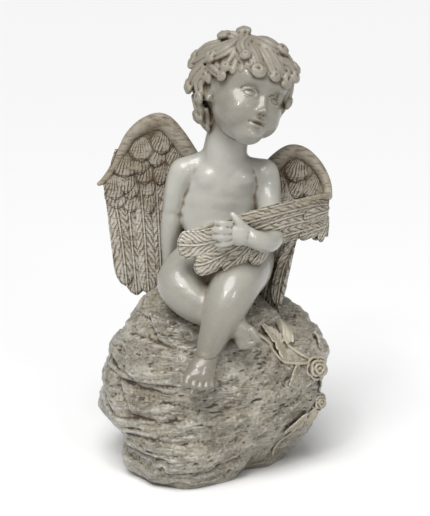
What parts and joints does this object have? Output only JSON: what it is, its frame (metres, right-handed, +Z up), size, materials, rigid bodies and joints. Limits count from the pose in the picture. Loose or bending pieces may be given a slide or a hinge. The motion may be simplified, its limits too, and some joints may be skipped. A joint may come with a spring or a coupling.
{
  "type": "angel statue",
  "caption": "Garden statue of a winged child seated on a boulder, one wing wrapped across its lap, roses on the rock, cast in one piece of painted resin.",
  "frame": {"origin": "on the boulder's flat underside, below the seat", "axes": "+Z up, the child looks along -Y, its left wing is on +X"},
  "size_m": [0.213, 0.1964, 0.3953],
  "materials": {
    "antiqued_resin": "ivory-grey semi-gloss paint with brown antiquing in the hollows"
  },
  "bodies": {
    "root": {"angel_statue": "antiqued_resin"}
  },
  "joints": []
}
